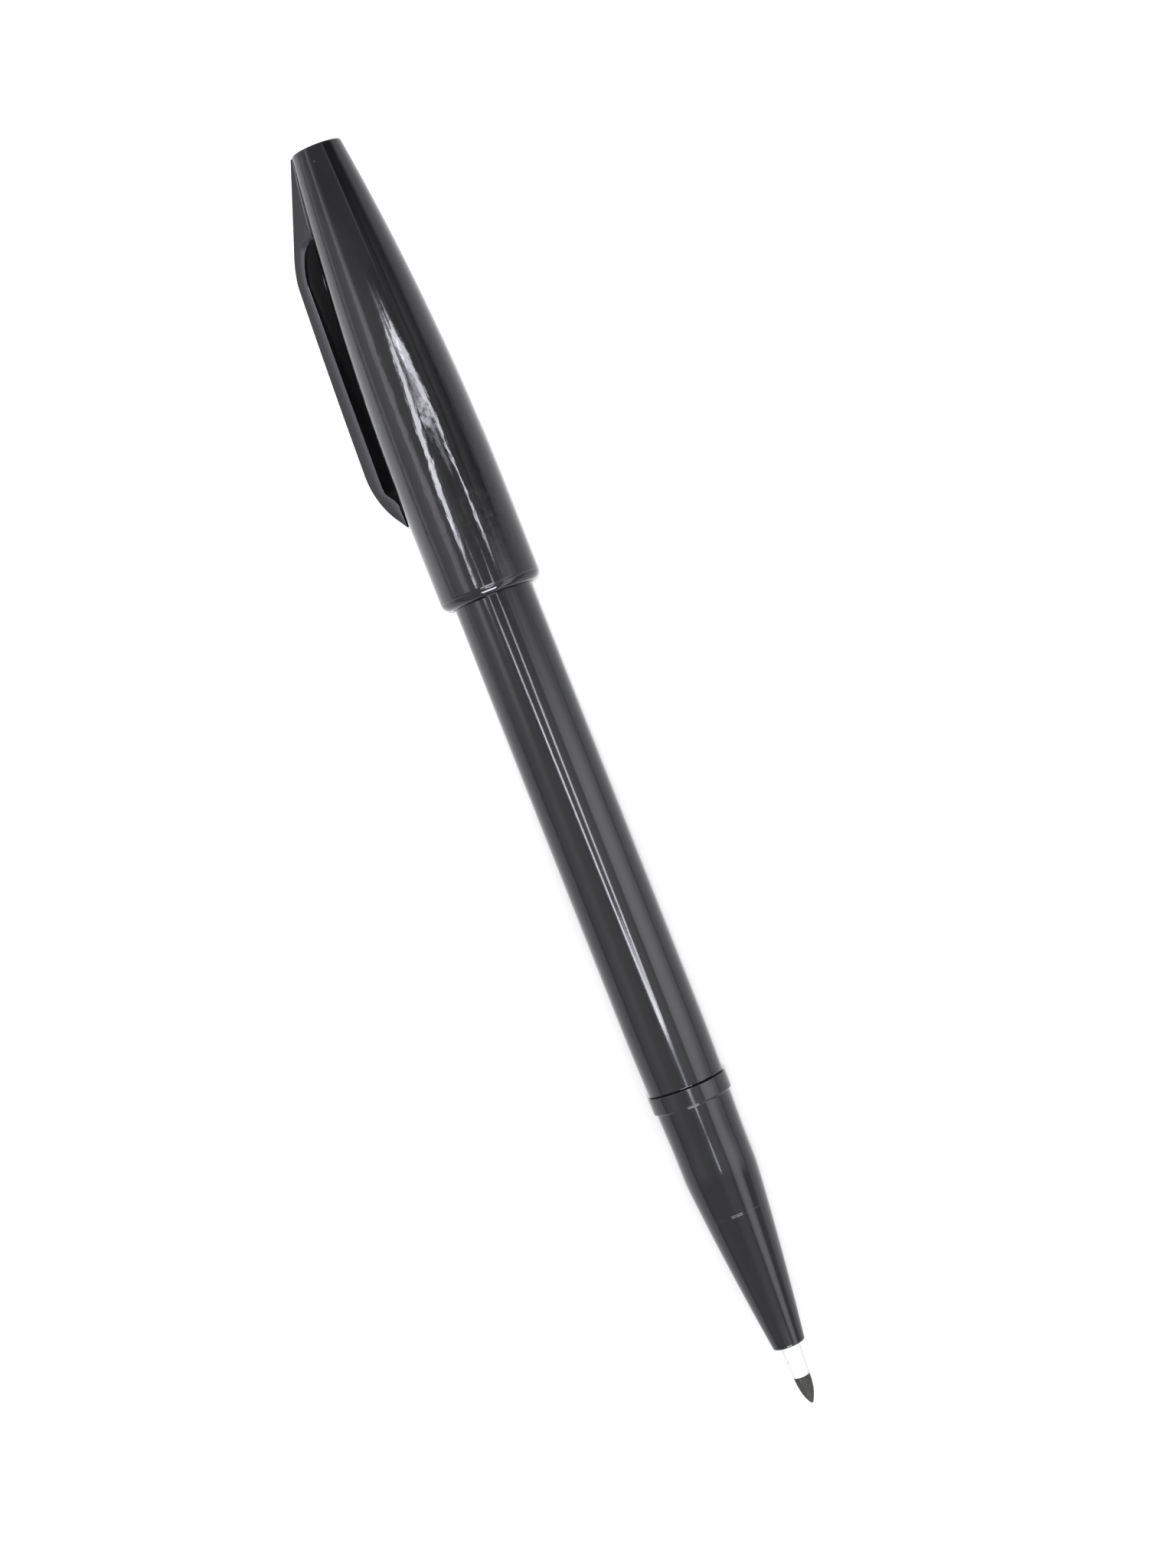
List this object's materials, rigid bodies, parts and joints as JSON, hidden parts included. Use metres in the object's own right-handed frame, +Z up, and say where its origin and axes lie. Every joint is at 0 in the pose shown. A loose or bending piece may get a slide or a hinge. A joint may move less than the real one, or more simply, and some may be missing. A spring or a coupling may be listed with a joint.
{
  "type": "brush pen",
  "caption": "Felt-tipped brush pen lying on its side, its clipped cap pushed on the back of a slim barrel; the cap slides off and the clip flexes.",
  "frame": {"origin": "middle of the bounding box, on the table the pen lies on", "axes": "+X along the pen's axis, out of the writing tip; +Z up; the clip points to -Y and down, resting on the table"},
  "size_m": [0.1616, 0.0156, 0.0126],
  "materials": {
    "black_plastic": "polished black moulding",
    "white_plastic": "translucent white moulding",
    "felt_tip": "ink-soaked fibre, matt",
    "seal_plastic": "soft milky seal plastic",
    "ink_fibre": "bonded fibre soaked with ink",
    "film": "thin clear film"
  },
  "bodies": {
    "barrel": {"barrel_tube": "black_plastic", "rear_plug": "black_plastic", "grip_section": "black_plastic", "tip_holder": "white_plastic", "fibre_tip": "felt_tip", "ink_reservoir": "ink_fibre", "reservoir_film": "film"},
    "cap": {"cap_shell": "black_plastic", "inner_cap": "seal_plastic"},
    "clip": {"cap_clip": "black_plastic"}
  },
  "joints": [
    {"name": "cap_slide", "type": "slide", "parent": "barrel", "child": "cap", "axis": [-1, 0, 0], "range_m": [0, 0.04]},
    {"name": "clip_flex", "type": "hinge", "parent": "cap", "child": "clip", "pos_m": [-0.06635, -0.00508, 0.00269], "axis": [0, 0.4828, -0.8757], "range_deg": [0, 3], "stiffness_Nm_per_rad": 1.5}
  ]
}
